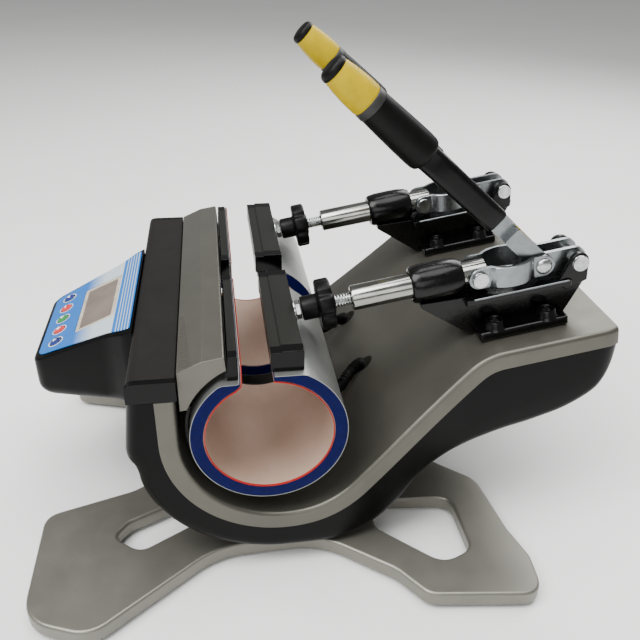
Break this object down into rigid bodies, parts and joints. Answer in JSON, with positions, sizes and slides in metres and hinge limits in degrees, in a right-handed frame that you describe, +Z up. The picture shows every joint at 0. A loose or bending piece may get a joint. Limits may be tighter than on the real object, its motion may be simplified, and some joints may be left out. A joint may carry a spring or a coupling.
{
  "type": "mug heat press",
  "caption": "Twin-station mug heat press: curved body on a four-armed base, two heater wraps closed by toggle clamps, sloping control panel.",
  "frame": {"origin": "centre of the footprint's bounding box, on the surface the press stands on", "axes": "+Z up, X along the mug axis, -Y towards the user and the control panel, +Y towards the toggle clamps"},
  "size_m": [0.4018, 0.4252, 0.3511],
  "materials": {
    "bar_anodised": "dark grey-green anodised",
    "base_paint": "satin champagne-silver powder coat",
    "beam_matte": "matte dark brown-black",
    "black_gloss": "gloss black",
    "black_plastic": "moulded black",
    "black_rubber": "matte",
    "black_shell": "fine satin black",
    "black_steel": "black painted sheet steel",
    "blue_label": "printed film, blue with white and grey stripes",
    "body_paint": "satin champagne-silver paint",
    "button_green": "domed green",
    "button_navy": "domed navy",
    "button_red": "domed red",
    "cast_black": "gloss black enamel on rough casting",
    "chrome": "chrome-plated, worn",
    "circuit_board": "green solder mask",
    "controller_plastic": "satin black",
    "cover_paint": "satin silver paint with ribbed facet",
    "display_glass": "grey-brown liquid crystal window",
    "grip_rubber": "black soft grip",
    "lead_sleeve": "corrugated black sleeve",
    "silicone_foam": "navy silicone foam",
    "vinyl_sleeve": "black dipped vinyl",
    "yellow_grip": "yellow soft plastic",
    "zinc_plate": "bright zinc plate"
  },
  "bodies": {
    "root": {"base_plate": "base_paint", "beam_cap_left": "black_gloss", "beam_cap_right": "black_gloss", "circuit_board": "circuit_board", "clamp_casting_left": "cast_black", "clamp_casting_right": "cast_black", "clamp_cover": "cover_paint", "controller_case": "controller_plastic", "cradle_left": "black_steel", "cradle_right": "black_steel", "display": "display_glass", "fixed_bar_left": "bar_anodised", "fixed_bar_right": "bar_anodised", "foot_front_left": "black_rubber", "foot_front_right": "black_rubber", "foot_rear_left": "black_rubber", "foot_rear_right": "black_rubber", "front_beam": "beam_matte", "heater_lead_left": "lead_sleeve", "heater_lead_right": "lead_sleeve", "heater_wrap_left": "silicone_foam", "heater_wrap_right": "silicone_foam", "lower_shell": "black_shell", "panel_label": "blue_label", "power_board": "circuit_board", "power_inlet": "controller_plastic", "rear_pin_left": "zinc_plate", "rear_pin_right": "zinc_plate", "tail_bumper": "black_rubber", "upper_shell": "body_paint"},
    "handle_right": {"handle_strap_right": "zinc_plate", "handle_sleeve_right": "vinyl_sleeve", "grip_right": "grip_rubber", "grip_band_right": "yellow_grip", "grip_cap_right": "grip_rubber"},
    "plunger_right": {"plunger_right": "chrome", "front_pin_right": "zinc_plate"},
    "link_right": {"link_outer_right": "zinc_plate", "link_inner_right": "zinc_plate"},
    "jaw_right": {"moving_bar_right": "bar_anodised", "jaw_bolt_right": "zinc_plate"},
    "knob_right": {"pressure_knob_right": "black_plastic"},
    "handle_left": {"handle_strap_left": "zinc_plate", "handle_sleeve_left": "vinyl_sleeve", "grip_left": "grip_rubber", "grip_band_left": "yellow_grip", "grip_cap_left": "grip_rubber"},
    "plunger_left": {"plunger_left": "chrome", "front_pin_left": "zinc_plate"},
    "link_left": {"link_outer_left": "zinc_plate", "link_inner_left": "zinc_plate"},
    "jaw_left": {"moving_bar_left": "bar_anodised", "jaw_bolt_left": "zinc_plate"},
    "knob_left": {"pressure_knob_left": "black_plastic"},
    "button_down": {"button_down": "button_navy"},
    "button_minus": {"button_minus": "button_red"},
    "button_start": {"button_start": "button_green"},
    "button_plus": {"button_plus": "button_red"},
    "button_up": {"button_up": "button_navy"},
    "power_rocker": {"power_rocker": "black_gloss"}
  },
  "joints": [
    {"name": "handle_swing_right", "type": "hinge", "parent": "root", "child": "handle_right", "pos_m": [0.0734, 0.18029, 0.214], "axis": [-1, 0, 0], "range_deg": [0, 110]},
    {"name": "plunger_slide_right", "type": "slide", "parent": "root", "child": "plunger_right", "axis": [0, 0.9848, 0.1736], "range_m": [0, 0.03813]},
    {"name": "link_swing_right", "type": "hinge", "parent": "plunger_right", "child": "link_right", "pos_m": [0.0734, 0.11135, 0.20184], "axis": [1, 0, 0], "range_deg": [0, 29.37]},
    {"name": "jaw_adjust_right", "type": "slide", "parent": "plunger_right", "child": "jaw_right", "axis": [0, -0.9848, -0.1736], "range_m": [-0.0015, 0.0015]},
    {"name": "knob_turn_right", "type": "hinge", "parent": "jaw_right", "child": "knob_right", "pos_m": [0.0734, -0.00091, 0.18205], "axis": [0, -0.9848, -0.1736], "range_deg": [-360, 360]},
    {"name": "handle_swing_left", "type": "hinge", "parent": "root", "child": "handle_left", "pos_m": [-0.0734, 0.18029, 0.214], "axis": [-1, 0, 0], "range_deg": [0, 110]},
    {"name": "plunger_slide_left", "type": "slide", "parent": "root", "child": "plunger_left", "axis": [0, 0.9848, 0.1736], "range_m": [0, 0.03813]},
    {"name": "link_swing_left", "type": "hinge", "parent": "plunger_left", "child": "link_left", "pos_m": [-0.0734, 0.11135, 0.20184], "axis": [1, 0, 0], "range_deg": [0, 29.37]},
    {"name": "jaw_adjust_left", "type": "slide", "parent": "plunger_left", "child": "jaw_left", "axis": [0, -0.9848, -0.1736], "range_m": [-0.0015, 0.0015]},
    {"name": "knob_turn_left", "type": "hinge", "parent": "jaw_left", "child": "knob_left", "pos_m": [-0.0734, -0.00091, 0.18205], "axis": [0, -0.9848, -0.1736], "range_deg": [-360, 360]},
    {"name": "press_down", "type": "slide", "parent": "root", "child": "button_down", "axis": [0, 0.4067, -0.9135], "range_m": [0, 0.0008], "stiffness_N_per_m": 300},
    {"name": "press_minus", "type": "slide", "parent": "root", "child": "button_minus", "axis": [0, 0.4067, -0.9135], "range_m": [0, 0.0008], "stiffness_N_per_m": 300},
    {"name": "press_start", "type": "slide", "parent": "root", "child": "button_start", "axis": [0, 0.4067, -0.9135], "range_m": [0, 0.0008], "stiffness_N_per_m": 300},
    {"name": "press_plus", "type": "slide", "parent": "root", "child": "button_plus", "axis": [0, 0.4067, -0.9135], "range_m": [0, 0.0008], "stiffness_N_per_m": 300},
    {"name": "press_up", "type": "slide", "parent": "root", "child": "button_up", "axis": [0, 0.4067, -0.9135], "range_m": [0, 0.0008], "stiffness_N_per_m": 300},
    {"name": "rocker_tilt", "type": "hinge", "parent": "root", "child": "power_rocker", "pos_m": [-0.084, 0.20579, 0.147], "axis": [0, 0, 1], "range_deg": [0, 20]}
  ],
  "couplings": [
    {"joint": "plunger_slide_right", "follows": "handle_swing_right", "m_per_rad": 0.019854},
    {"joint": "link_swing_right", "follows": "handle_swing_right", "ratio": 0.2669},
    {"joint": "knob_turn_right", "follows": "jaw_adjust_right", "rad_per_m": 4188.8},
    {"joint": "plunger_slide_left", "follows": "handle_swing_left", "m_per_rad": 0.019854},
    {"joint": "link_swing_left", "follows": "handle_swing_left", "ratio": 0.2669},
    {"joint": "knob_turn_left", "follows": "jaw_adjust_left", "rad_per_m": 4188.8}
  ]
}
